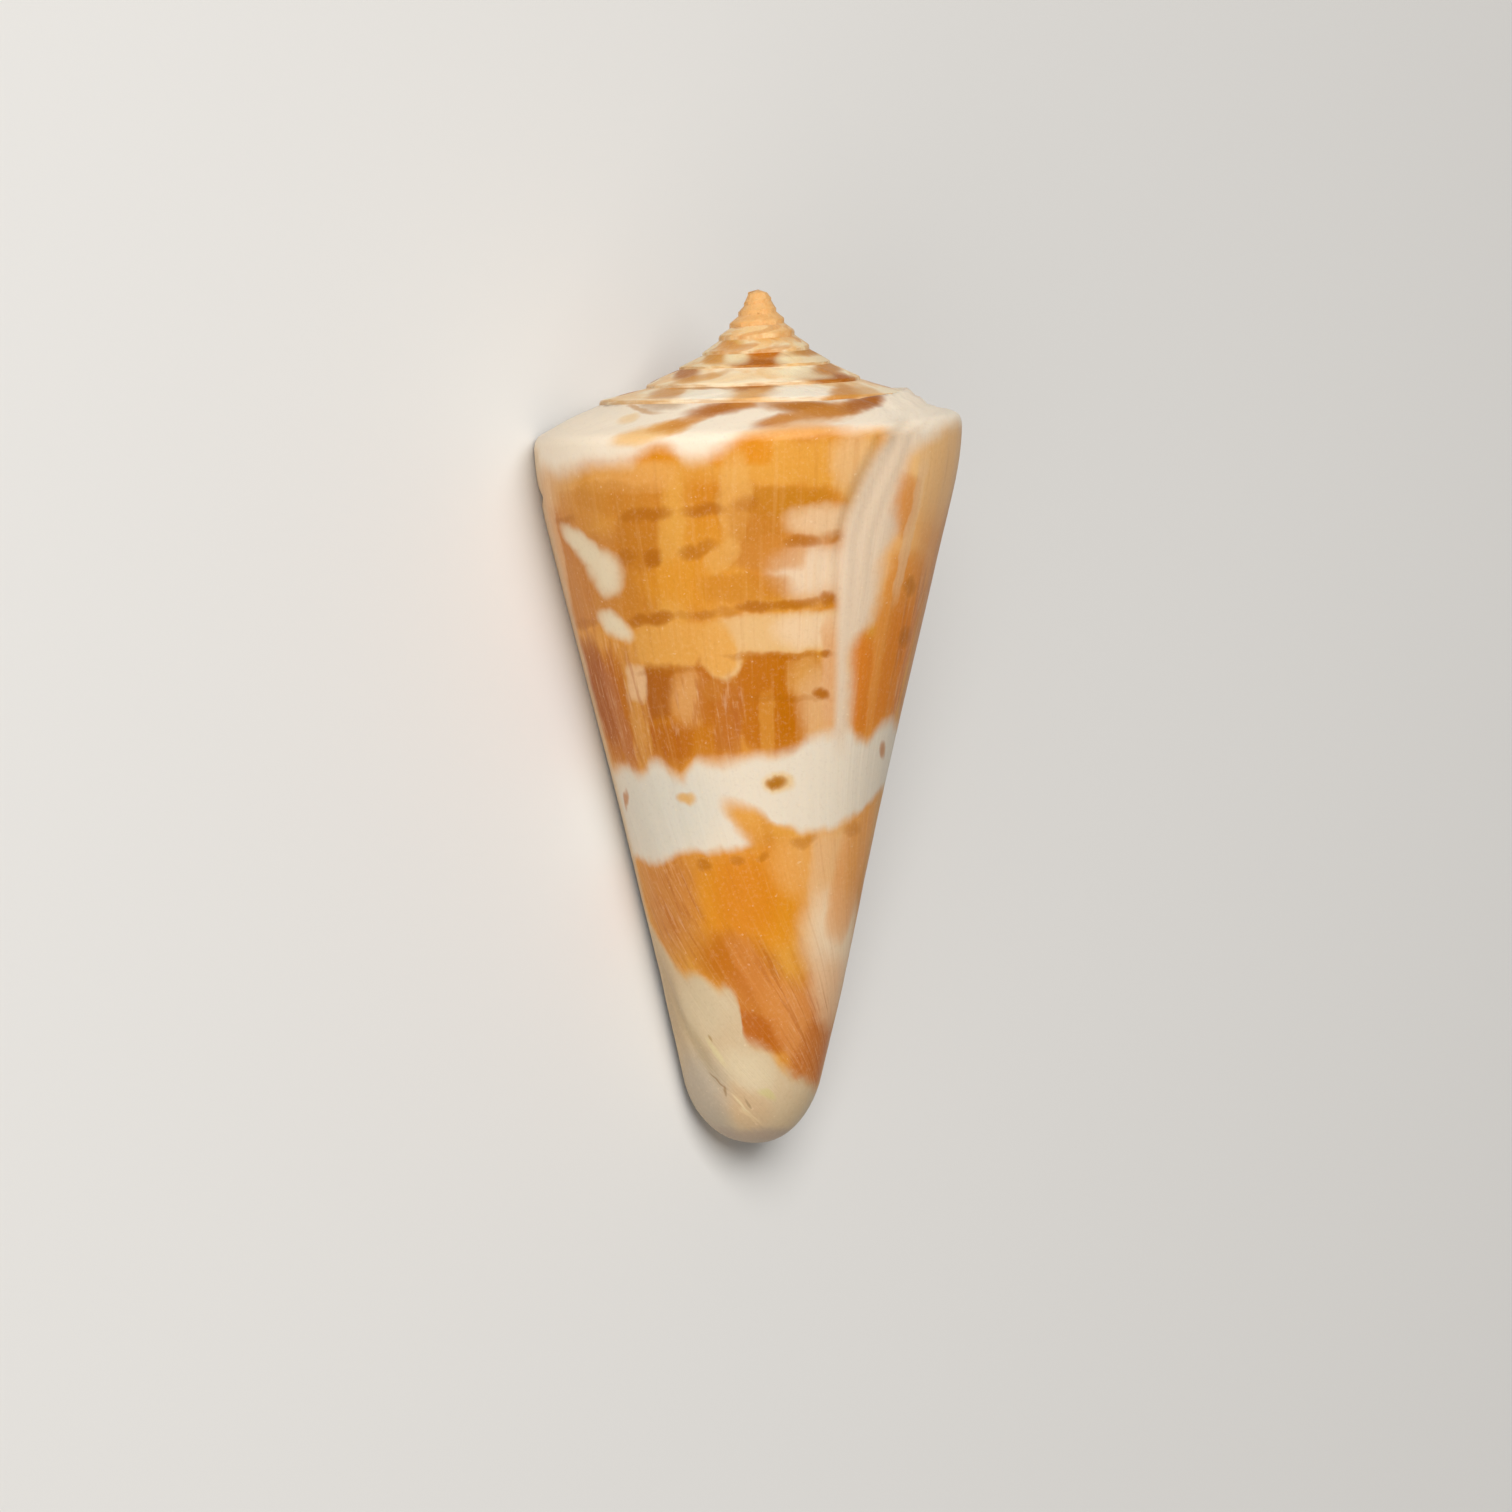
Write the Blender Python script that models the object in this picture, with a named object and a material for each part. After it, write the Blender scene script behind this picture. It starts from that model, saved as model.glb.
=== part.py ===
"""A cone shell lying on its lip and its belly. Metres, +Z up, spire towards +Y.

The shell is one closed solid, because it grew as one piece. It is a tube coiled about a
straight axis. A place on it is given by how many turns it lies back from the outer lip, and
by how far down the profile it is: suture, ramp, shoulder, straight side, rounded base.
"""

import math

import bmesh
import bpy
from mathutils import Matrix, Vector

# The whole shell
LENGTH = 0.0500
SHOULDER_RADIUS = 0.01355
SHOULDER_HEIGHT = 0.04075
WHORL_RATIO = 0.708
WHORLS = 9

# How far each earlier shoulder stands above the lip's shoulder, and how much of its wall
# shows above the next suture: one pair for each whorl, counted back from the lip
SHOULDER_STEPS = (
    (0.00000, 0.00010),
    (0.00255, 0.00010),
    (0.00355, 0.00028),
    (0.00468, 0.00014),
    (0.00562, 0.00016),
    (0.00664, 0.00016),
    (0.00746, 0.00014),
    (0.00806, 0.00012),
    (0.00856, 0.00010),
    (0.00892, 0.00008),
    (0.00912, 0.00006),
)

# The profile, from the widest line down to the tip of the base
SHOULDER_ROUND = 0.062
EARLY_ROUND = 0.035
SIDE_AT_BASE = 0.259
SIDE_SLOPE = 0.772
SIDE_BLEND = 0.020
SIDE_WAIST = 0.018
OFF_ROUND = 0.020
BASE_LEAN = 0.00030
SPIRE_LEAN = 0.00016
BASE_START = 0.095
BASE_FULLNESS = 2.3

# The outer lip, the wall behind it and the hollow inside
WALL_AT_SHOULDER = 0.00085
WALL_AT_BASE = 0.00045
LIP_SWEEP = 0.05
LIP_NOTCH = 0.030
HOLLOW_TURNS = 0.85
COLUMELLA_WAIST = 0.28

# The old lip that growth stopped at once, a low ridge down the right of the back
RIDGE_TURNS = 0.365
RIDGE_WIDTH = 0.035
RIDGE_HEIGHT = 0.00022
BULGE_TURNS = 0.50
BULGE_WIDTH = 0.13
BULGE_SHARE = 0.022
BULGE_RISE = 0.00035

# How the shell lies: turned about its own axis, its base sloping down to the floor, and
# worn flat by this much where it touches
ROLL = math.radians(-45.5)
SLOPE = math.radians(10.0)
FLAT_DEPTH = 0.00012

# How finely the surface is cut into facets
COLUMNS = 40
RAMP_ROWS = (0.0, 0.5)
ROUND_ROWS = (60.0, 28.0, 0.0)
SIDE_ROWS = (0.965, 0.92, 0.86, 0.78, 0.69, 0.60, 0.50, 0.40, 0.30, 0.20, 0.13, 0.085)
BASE_ROWS = (0.050, 0.025, 0.009, 0.0)

SUTURE_ROW = len(RAMP_ROWS) + len(ROUND_ROWS)
FIRST_SIDE = SUTURE_ROW + 1
SHARES = SIDE_ROWS + BASE_ROWS
POLE_ROW = SUTURE_ROW + len(SHARES)
HOLLOW_END_ROW = POLE_ROW - 2
LAST_COLUMN = WHORLS * COLUMNS
HOLLOW_COLUMNS = round(HOLLOW_TURNS * COLUMNS)


def ease(low, high, value):
    """0 below low, 1 above high and a smooth rise between them."""
    part = min(max((value - low) / (high - low), 0.0), 1.0)
    return part * part * (3.0 - 2.0 * part)


def bump(centre, width, value):
    """A smooth hill, 1 high at its centre."""
    return math.exp(-(((value - centre) / width) ** 2))


def between_whorls(turns):
    """The rise of the shoulder and the wall that shows below it, read smoothly between whorls."""
    last = len(SHOULDER_STEPS) - 1
    whorl = min(int(turns), last - 1)
    part = turns - whorl
    before = SHOULDER_STEPS[max(whorl - 1, 0)]
    start = SHOULDER_STEPS[whorl]
    end = SHOULDER_STEPS[whorl + 1]
    after = SHOULDER_STEPS[min(whorl + 2, last)]
    values = []
    for a, b, c, d in zip(before, start, end, after):
        leave = (c - a) / 2.0 if whorl else c - b
        reach = (d - b) / 2.0 if whorl + 2 <= last else c - b
        curve = (2.0 * b - 2.0 * c + leave + reach) * part**3
        curve += (3.0 * c - 3.0 * b - 2.0 * leave - reach) * part**2
        values.append(curve + leave * part + b)
    return values


def shoulder(turns):
    """Radius and height of the widest line, and the wall that shows below it."""
    rise, step = between_whorls(turns)
    return SHOULDER_RADIUS * WHORL_RATIO**turns, SHOULDER_HEIGHT + rise, step


def side_radius(turns, share):
    """Radius of the side at this share of the shoulder's height, 1 at the shoulder, 0 at the tip."""
    radius = shoulder(turns)[0]
    cone = SIDE_AT_BASE + SIDE_SLOPE * share
    full = SIDE_AT_BASE + SIDE_SLOPE
    cone -= SIDE_BLEND * math.log(1.0 + math.exp((cone - 1.0) / SIDE_BLEND))
    full -= SIDE_BLEND * math.log(1.0 + math.exp((full - 1.0) / SIDE_BLEND))
    radius *= cone / full - SIDE_WAIST * bump(0.5, 0.3, share)
    radius *= 1.0 - OFF_ROUND * math.cos(2.0 * math.pi * turns) * ease(0.3, 1.0, share)
    radius *= 1.0 - COLUMELLA_WAIST * ease(0.78, 1.0, turns) * (1.0 - share) ** 2
    radius *= 1.0 + BULGE_SHARE * bump(BULGE_TURNS, BULGE_WIDTH, turns) * ease(0.80, 1.0, share)
    radius += RIDGE_HEIGHT * bump(RIDGE_TURNS, RIDGE_WIDTH, turns) * ease(0.45, 0.85, share)
    if share < BASE_START:
        depth = 1.0 - share / BASE_START
        radius *= (1.0 - depth**BASE_FULLNESS) ** (1.0 / BASE_FULLNESS)
    return radius


def profile(turns, row):
    """Radius and height of one row of the profile."""
    if row > SUTURE_ROW:
        share = SHARES[row - FIRST_SIDE]
        return side_radius(turns, share), share * shoulder(turns)[1]
    widest, height, step = shoulder(turns)
    if row == SUTURE_ROW:
        share = 1.0 - step / height
        return side_radius(turns, share), height - step
    full = side_radius(turns, 1.0)
    if row >= len(RAMP_ROWS):
        angle = math.radians(ROUND_ROWS[row - len(RAMP_ROWS)])
        rounding = SHOULDER_ROUND + (EARLY_ROUND - SHOULDER_ROUND) * ease(0.5, 1.0, turns)
        rounding *= widest
        lifted = rounding + BULGE_RISE * bump(BULGE_TURNS, BULGE_WIDTH, turns)
        return full - rounding * (1.0 - math.cos(angle)), height + lifted * math.sin(angle)
    inner = profile(turns + 1.0, SUTURE_ROW)
    outer = profile(turns, len(RAMP_ROWS))
    part = RAMP_ROWS[row]
    return inner[0] + (outer[0] - inner[0]) * part, inner[1] + (outer[1] - inner[1]) * part


def lip_turns(row):
    """How far the edge of the lip lies back at this row: a notch on the ramp, a sweep at the base."""
    if row > SUTURE_ROW:
        return LIP_SWEEP * (1.0 - SHARES[row - FIRST_SIDE]) ** 3
    if 0 < row < len(RAMP_ROWS):
        return LIP_NOTCH
    return 0.0


def place(turns, radius, height):
    """The point at this radius and height, with the lip at -X and growth running towards it."""
    angle = 2.0 * math.pi * turns
    lean = BASE_LEAN * (1.0 - ease(0.0, 0.3, height / SHOULDER_HEIGHT))
    lean += SPIRE_LEAN * ease(SHOULDER_HEIGHT, LENGTH, height)
    return Vector((-radius * math.cos(angle) - lean, height, radius * math.sin(angle)))


def outer_point(turns, row):
    return place(turns, *profile(turns, row))


def wall_point(turns, row):
    """The inner face of the wall, behind one row of the outside."""
    share = SHARES[row - FIRST_SIDE] if row > SUTURE_ROW else 1.0
    wall = WALL_AT_BASE + (WALL_AT_SHOULDER - WALL_AT_BASE) * share
    radius, height = profile(turns, row)
    above = profile(turns, row - 1)
    below = profile(turns, row + 1)
    along = Vector((below[0] - above[0], below[1] - above[1])).normalized()
    return place(turns, radius + along.y * wall, height - along.x * wall)


def sheet(mesh, lines):
    """Faces between each line of points and the next, leaving out a corner that comes twice."""
    for first, second in zip(lines, lines[1:]):
        for i in range(len(first) - 1):
            corners = (first[i], second[i], second[i + 1], first[i + 1])
            mesh.faces.new([corner for j, corner in enumerate(corners) if corner is not corners[j - 1]])


def build_mesh():
    """The outside, the hollow and the rim that joins them at the lip, as one closed mesh."""
    mesh = bmesh.new()
    tip = mesh.verts.new(place(0.0, 0.0, 0.0))
    made = {}

    def outer(column, row):
        """A point of the outside. Each whorl starts on the one before it, at the suture."""
        if row == POLE_ROW:
            return tip
        if row == 0 and column + COLUMNS <= LAST_COLUMN:
            return outer(column + COLUMNS, SUTURE_ROW)
        if (column, row) not in made:
            turns = column / COLUMNS
            if column < COLUMNS:
                turns += lip_turns(row) * (1.0 - turns)
            made[column, row] = mesh.verts.new(outer_point(turns, row))
        return made[column, row]

    # The last whorl down to the tip, then the ramps of the whorls before it
    last_whorl = range(COLUMNS + 1)
    sheet(mesh, [[outer(column, row) for row in range(POLE_ROW + 1)] for column in last_whorl])
    spire = range(COLUMNS, LAST_COLUMN + 1)
    sheet(mesh, [[outer(column, row) for row in range(SUTURE_ROW + 1)] for column in spire])

    # The blunt first whorl closes the spire
    apex = mesh.verts.new(place(0.0, 0.0, LENGTH))
    edge = [outer(column, 0) for column in range(LAST_COLUMN - COLUMNS, LAST_COLUMN + 1)]
    edge += [outer(LAST_COLUMN, row) for row in range(1, SUTURE_ROW + 1)]
    sheet(mesh, [[corner, apex] for corner in edge])

    # The hollow follows the last whorl inwards: the wall behind the lip on one side of it,
    # the whorl before it on the other
    walls = []
    for column in range(HOLLOW_COLUMNS + 1):
        part = column / HOLLOW_COLUMNS
        behind = {}
        before = {}
        for row in range(1, HOLLOW_END_ROW + 1):
            turns = lip_turns(row) + part * (HOLLOW_TURNS - lip_turns(row))
            behind[row] = mesh.verts.new(wall_point(turns, row))
        for row in range(FIRST_SIDE, HOLLOW_END_ROW + 1):
            turns = 1.0 + part * HOLLOW_TURNS
            before[row] = mesh.verts.new(outer_point(turns, row)) if column else outer(COLUMNS, row)
        walls.append((behind, before))
    rings = []
    for behind, before in walls:
        ring = [before[row] for row in reversed(before)] + list(behind.values())
        rings.append(ring + ring[:1])
    sheet(mesh, rings)
    behind, before = walls[-1]
    sheet(mesh, [[behind[row], before[max(row, FIRST_SIDE)]] for row in behind])

    # The rim of the lip, from the suture round to the tip
    behind, before = walls[0]
    suture = outer(0, 0)
    sheet(mesh, [[suture, suture]] + [[outer(0, row), behind[row]] for row in behind])
    mesh.faces.new((suture, behind[1], before[FIRST_SIDE]))
    mesh.faces.new((outer(0, HOLLOW_END_ROW), behind[HOLLOW_END_ROW], before[HOLLOW_END_ROW]))
    below = range(HOLLOW_END_ROW, POLE_ROW + 1)
    sheet(mesh, [[outer(0, row), outer(COLUMNS, row)] for row in below])
    return mesh


def lay_down(mesh):
    """Turns the shell into its resting pose, and wears it flat where it touches the floor."""
    turned = Matrix.Rotation(SLOPE, 4, "X") @ Matrix.Rotation(ROLL, 4, "Y")
    bmesh.ops.transform(mesh, matrix=turned, verts=mesh.verts)
    lowest = min(vert.co.z for vert in mesh.verts)
    bmesh.ops.translate(mesh, vec=(0.0, 0.0, -lowest - FLAT_DEPTH), verts=mesh.verts)
    parts = mesh.verts[:] + mesh.edges[:] + mesh.faces[:]
    bmesh.ops.bisect_plane(mesh, geom=parts, plane_co=(0, 0, 0), plane_no=(0, 0, 1), clear_inner=True)
    bmesh.ops.holes_fill(mesh, edges=[edge for edge in mesh.edges if edge.is_boundary], sides=0)
    across = [vert.co.x for vert in mesh.verts]
    along = [vert.co.y for vert in mesh.verts]
    middle = Vector(((min(across) + max(across)) / 2.0, (min(along) + max(along)) / 2.0, 0.0))
    bmesh.ops.translate(mesh, vec=-middle, verts=mesh.verts)


def shell_material():
    material = bpy.data.materials.new("shell")
    material.use_nodes = True
    surface = material.node_tree.nodes["Principled BSDF"]
    surface.inputs["Base Color"].default_value = (0.55, 0.27, 0.09, 1.0)
    surface.inputs["Roughness"].default_value = 0.35
    surface.inputs["Metallic"].default_value = 0.0
    return material


for old in list(bpy.data.objects):
    bpy.data.objects.remove(old, do_unlink=True)

solid = build_mesh()
lay_down(solid)
bmesh.ops.triangulate(solid, faces=solid.faces[:])
bmesh.ops.recalc_face_normals(solid, faces=solid.faces[:])
data = bpy.data.meshes.new("shell")
solid.to_mesh(data)
solid.free()
data.shade_smooth()
data.materials.append(shell_material())
shell = bpy.data.objects.new("shell", data)
bpy.context.scene.collection.objects.link(shell)
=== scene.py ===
import math

import bmesh
import bpy
import numpy as np
from mathutils import Matrix, Vector


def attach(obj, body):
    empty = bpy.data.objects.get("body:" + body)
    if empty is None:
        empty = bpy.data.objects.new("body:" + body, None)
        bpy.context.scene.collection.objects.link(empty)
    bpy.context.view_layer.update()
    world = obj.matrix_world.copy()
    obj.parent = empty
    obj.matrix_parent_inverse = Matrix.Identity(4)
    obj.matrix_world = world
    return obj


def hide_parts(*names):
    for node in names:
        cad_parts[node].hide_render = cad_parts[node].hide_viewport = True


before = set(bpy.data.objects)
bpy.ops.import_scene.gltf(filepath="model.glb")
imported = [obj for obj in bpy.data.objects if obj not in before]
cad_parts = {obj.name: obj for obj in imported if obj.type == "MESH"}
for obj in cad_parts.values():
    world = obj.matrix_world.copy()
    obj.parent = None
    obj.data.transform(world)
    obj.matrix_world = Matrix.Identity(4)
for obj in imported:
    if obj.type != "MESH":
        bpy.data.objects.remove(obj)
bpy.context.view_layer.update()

# The shell
# A cone shell is one tube of lime that the animal laid down at the lip, turn after turn, so it
# is one piece: outside, hollow and lip. It lies loose on its lip and its belly.

# A place on it is given by how many turns it lies back from the lip, and by its level on the
# profile: 0 at the tip of the base, 1 on the widest line, 2 in the suture on top. Sizes are in
# metres, widths and spacings in turns or levels, and a share is one of the shoulder's height.
# Two numbers together are where something starts and where it is full.
LENGTH = 0.0500
SHOULDER_RADIUS = 0.01355
SHOULDER_HEIGHT = 0.04075
WHORL_RATIO = 0.708
WHORLS = 9

# How far each earlier shoulder stands above the lip's shoulder, and how much of its wall shows
SHOULDER_STEPS = np.array((
    (0.00000, 0.00008),
    (0.00255, 0.00006),
    (0.00355, 0.00008),
    (0.00462, 0.00007),
    (0.00547, 0.00010),
    (0.00638, 0.00016),
    (0.00718, 0.00019),
    (0.00786, 0.00019),
    (0.00844, 0.00016),
    (0.00903, 0.00006),
    (0.00914, 0.00004),
))

# The profile, from the widest line down to the tip of the base
SHOULDER_ROUND = 0.062
EARLY_ROUND = 0.030
EARLY_TURNS = (0.5, 1.0)
APEX_ROUND = 0.110
APEX_TURNS = (3.5, 5.5)
SIDE_AT_BASE = 0.259
SIDE_SLOPE = 0.772
SIDE_BLEND = 0.020
SIDE_WAIST = 0.018
WAIST_MIDDLE = 0.5
WAIST_WIDTH = 0.3
OFF_ROUND = 0.020
OFF_ROUND_SHARES = (0.3, 1.0)
BASE_LEAN = 0.00030
BASE_LEAN_SHARES = (0.0, 0.3)
SPIRE_LEAN = 0.00016
BASE_START = 0.095
BASE_FULLNESS = 2.3

# The outer lip, the wall behind it and the hollow inside
WALL_AT_SHOULDER = 0.00085
WALL_AT_BASE = 0.00045
WALL_AT_EDGE = 0.36
EDGE_TURNS = 0.035
LIP_SWEEP = 0.05
LIP_SWEEP_POWER = 3
LIP_NOTCH = 0.030
HOLLOW_TURNS = 0.85
HOLLOW_END = 0.025
COLUMELLA_WAIST = 0.28
COLUMELLA_TURNS = (0.78, 1.0)

# The old lip that growth stopped at once, a low ridge down the right of the back
RIDGE_TURNS = 0.365
RIDGE_WIDTH = 0.035
RIDGE_HEIGHT = 0.00022
RIDGE_SHARES = (0.45, 0.85)
# The last whorl bulges at the shoulder behind it
BULGE_TURNS = 0.50
BULGE_WIDTH = 0.13
BULGE_PART = 0.022
BULGE_RISE = 0.00035
BULGE_SHARES = (0.80, 1.0)

# Growth lines follow the edge of the lip: back towards the base, and back across the ramp
BASE_SWEEP = 0.45
BASE_SWEEP_POWER = 5.0
RAMP_SWEEP = 0.075
RAMP_SWEEP_BEND = 0.75 * math.pi
# Their spacing and their height
GROWTH_LINES = ((0.040, 0.000024), (0.015, 0.000016), (0.0085, 0.000007))
LINE_LEVELS = (0.03, 0.25)
LINES_LOST_ON_RAMP = 0.6
OVER_SHOULDER = (1.0, 1.3)
RAMP_WRINKLES = ((0.021, 0.000060), (0.012, 0.000035))
WRINKLE_LEVELS = (1.05, 1.4)
WRINKLE_TURNS = (0.25, 0.40)
WRINKLES_AT_LIP = 0.35

# The ramp is fuller where the scar crosses it and at the lip, and hollow below the scar's hump
RAMP_HUMPS = (
    # turns, width, level, spread, height
    (0.50, 0.13, 1.92, 0.16, 0.00045),
    (0.50, 0.09, 1.40, 0.25, -0.00026),
    (0.50, 0.09, 1.00, 0.15, -0.00016),
    (0.02, 0.07, 1.60, 0.25, 0.00022),
)

# A shallow fold near the base: turns and levels along it, its width in levels and its depth
FOLD_LINE = (
    (0.055, 0.231), (0.079, 0.189), (0.098, 0.153), (0.146, 0.103), (0.173, 0.085), (0.214, 0.066),
)
FOLD_LINE_WIDTH = 0.020
FOLD_LINE_DEPTH = 0.00010
FOLD_LINE_START = (0.03, 0.07)
FOLD_LINE_END = (0.18, 0.26)

# Folds that the broken lip left round the ramp, at the right of the back
FOLD_TURNS = 0.50
FOLD_WIDTH = 0.09
FOLD_SPACING = 0.21
FOLD_HEIGHT = 0.00009
FOLD_LEVELS = (1.15, 1.35)

# Where the lip broke and grew on, a groove that follows the old edge: turns and level
SCAR = (
    (0.332, 0.635), (0.324, 0.72), (0.319, 0.795), (0.316, 0.853), (0.319, 0.885), (0.326, 0.926),
    (0.339, 0.973), (0.360, 1.08), (0.420, 1.8),
)
SCAR_LEVELS = (0.70, 0.86)
SCAR_LOST_ON_RAMP = 0.5
SCAR_GROOVES = (
    # how far behind the scar, width, depth
    (0.0, 0.0055, 0.00020),
    (0.014, 0.005, 0.00009),
    (-0.014, 0.004, 0.00005),
    (0.030, 0.004, 0.00006),
)
SCAR_LEDGE = 0.00005
SCAR_LEDGE_EDGE = (0.0, 0.0042)
SCAR_LEDGE_FADE = (0.0, 0.06)

# A nick in the edge of the lip
NICK_LEVEL = 0.931
NICK_HEIGHT = 0.009
NICK_TURNS = 0.020
NICK_DEPTH = 0.00018

# How the shell lies: turned about its own axis, its base sloping down to the floor
ROLL = math.radians(-45.5)
SLOPE = math.radians(10.0)

# How finely the surface is cut
COLUMNS = 360
LAST_COLUMN = WHORLS * COLUMNS
RAMP_PARTS = np.array((0.0, 0.03, 0.08, 0.15, 0.23, 0.32, 0.41, 0.50, 0.60, 0.70, 0.80, 0.91))
ROUND_ANGLES = np.radians(np.linspace(60.0, 0.0, 6))
STEP_LEVEL = 0.9975
SIDE_ROWS = 74
BASE_ROWS = 14
BASE_ANGLES = np.linspace(0.08, 0.5 * math.pi, BASE_ROWS)
BASE_SHARES = BASE_START * (1.0 - np.sin(BASE_ANGLES) ** (2.0 / BASE_FULLNESS))
SIDE_SHARES = np.concatenate((np.linspace(0.990, 0.10, SIDE_ROWS), BASE_SHARES))
SUTURE_ROW = len(RAMP_PARTS) + len(ROUND_ANGLES)
FIRST_SIDE = SUTURE_ROW + 1
POLE_ROW = SUTURE_ROW + len(SIDE_SHARES)
HOLLOW_END_ROW = FIRST_SIDE + int(np.argmin(abs(SIDE_SHARES - HOLLOW_END)))
HOLLOW_COLUMNS = 40
HOLLOW_CROWDING = 1.6
RIM_STEPS = 3

# Levels of the rows, and how much shorter a level on the ramp is than one on the side
ROUND_LEVEL = 1.25
APEX_LEVEL = 1.9
RAMP_SHARE = 0.11
ramp_levels = 2.0 - (2.0 - ROUND_LEVEL) * RAMP_PARTS
round_levels = 1.0 + (ROUND_LEVEL - 1.0) * ROUND_ANGLES / ROUND_ANGLES[0]
LEVELS = np.concatenate((ramp_levels, round_levels, (STEP_LEVEL,), SIDE_SHARES))


def ease(low, high, value):
    """0 below low, 1 above high and a smooth rise between them."""
    part = np.clip((value - low) / (high - low), 0.0, 1.0)
    return part * part * (3.0 - 2.0 * part)


def bump(centre, width, value):
    """A smooth hill, 1 high at its centre."""
    return np.exp(-(((value - centre) / width) ** 2))


def shoulder(turns):
    """Radius and height of the widest line, and the wall that shows below it."""
    last = len(SHOULDER_STEPS) - 1
    whorl = np.minimum(turns.astype(int), last - 1)
    part = (turns - whorl)[..., None]
    before, start, end, after = (SHOULDER_STEPS[np.clip(whorl + i, 0, last)] for i in (-1, 0, 1, 2))
    leave = np.where((whorl > 0)[..., None], (end - before) / 2.0, end - start)
    reach = np.where((whorl + 2 <= last)[..., None], (after - start) / 2.0, end - start)
    curve = (2.0 * start - 2.0 * end + leave + reach) * part**3
    curve += (3.0 * end - 3.0 * start - 2.0 * leave - reach) * part**2
    rise, step = np.moveaxis(curve + leave * part + start, -1, 0)
    return SHOULDER_RADIUS * WHORL_RATIO**turns, SHOULDER_HEIGHT + rise, step


def side_radius(turns, share):
    """Radius of the side at this share of the shoulder's height."""
    cone = SIDE_AT_BASE + SIDE_SLOPE * np.array((share, np.ones_like(share)))
    cone, full = cone - SIDE_BLEND * np.log(1.0 + np.exp((cone - 1.0) / SIDE_BLEND))
    radius = shoulder(turns)[0] * (cone / full - SIDE_WAIST * bump(WAIST_MIDDLE, WAIST_WIDTH, share))
    radius *= 1.0 - OFF_ROUND * np.cos(2.0 * np.pi * turns) * ease(*OFF_ROUND_SHARES, share)
    radius *= 1.0 - COLUMELLA_WAIST * ease(*COLUMELLA_TURNS, turns) * (1.0 - share) ** 2
    radius *= 1.0 + BULGE_PART * bump(BULGE_TURNS, BULGE_WIDTH, turns) * ease(*BULGE_SHARES, share)
    radius += RIDGE_HEIGHT * bump(RIDGE_TURNS, RIDGE_WIDTH, turns) * ease(*RIDGE_SHARES, share)
    depth = np.clip(1.0 - share / BASE_START, 0.0, 1.0)
    return radius * (1.0 - depth**BASE_FULLNESS) ** (1.0 / BASE_FULLNESS)


def suture(turns):
    """Radius and height of the line on a whorl where the next whorl sits on it."""
    widest, height, step = shoulder(turns)
    return np.array((side_radius(turns, 1.0 - step / height), height - step))


def rounded(turns, angle):
    """Radius and height of the rounded shoulder, at this angle above its widest line."""
    widest, height, step = shoulder(turns)
    rounding = SHOULDER_ROUND + (EARLY_ROUND - SHOULDER_ROUND) * ease(*EARLY_TURNS, turns)
    rounding = widest * (rounding + (APEX_ROUND - EARLY_ROUND) * ease(*APEX_TURNS, turns))
    lifted = rounding + BULGE_RISE * bump(BULGE_TURNS, BULGE_WIDTH, turns)
    full = side_radius(turns, np.ones_like(turns))
    return np.array((full - rounding * (1.0 - np.cos(angle)), height + lifted * np.sin(angle)))


def profile(turns):
    """Radius and height of every row, from the suture to the tip, in each column of turns."""
    ramp, around, step, side = np.split(turns, (len(RAMP_PARTS), SUTURE_ROW, FIRST_SIDE), axis=1)
    inner = suture(ramp + 1.0)
    outer = rounded(ramp, ROUND_ANGLES[0])
    down = SIDE_SHARES + 0.0 * side
    lines = (
        inner + (outer - inner) * RAMP_PARTS,
        rounded(around, ROUND_ANGLES),
        suture(step),
        np.array((side_radius(side, down), down * shoulder(side)[1])),
    )
    return np.concatenate(lines, axis=2)


def place(turns, radius, height):
    """The points at these radii and heights, with the lip at -X and growth running towards it."""
    lean = BASE_LEAN * (1.0 - ease(*BASE_LEAN_SHARES, height / SHOULDER_HEIGHT))
    lean = lean + SPIRE_LEAN * ease(SHOULDER_HEIGHT, LENGTH, height)
    angle = 2.0 * np.pi * turns
    return np.stack((-radius * np.cos(angle) - lean, height, radius * np.sin(angle)), axis=-1)


def reach(levels):
    """Levels with the ramp drawn together, so that one step is about as far everywhere."""
    return np.minimum(levels, 1.0) + RAMP_SHARE * np.maximum(levels - 1.0, 0.0)


def unit(vectors):
    return vectors / np.maximum(np.linalg.norm(vectors, axis=-1, keepdims=True), 1e-12)


def outside(turns):
    """The points of the outside and the directions out of it, without its fine relief."""
    points = place(turns, *profile(turns))
    out = np.cross(np.gradient(points, axis=1), np.gradient(points, axis=0))
    return points, unit(out)


def growth(turns, levels):
    """Which growth line a place is on, counted in turns where the line meets the widest line."""
    back = BASE_SWEEP * (1.0 - np.minimum(levels, 1.0)) ** BASE_SWEEP_POWER
    back = back + RAMP_SWEEP * np.sin(RAMP_SWEEP_BEND * np.maximum(levels - 1.0, 0.0))
    return turns - back


def uneven(along, spacing, seed):
    """A smooth, seeded unevenness along the growth, from -1 to 1, with this spacing in turns."""
    heights = np.random.default_rng(seed).uniform(-1.0, 1.0, int((WHORLS + 3) / spacing))
    steps = (along + 1.0) / spacing
    first = steps.astype(int)
    return heights[first] + (heights[first + 1] - heights[first]) * ease(0.0, 1.0, steps - first)


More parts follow.
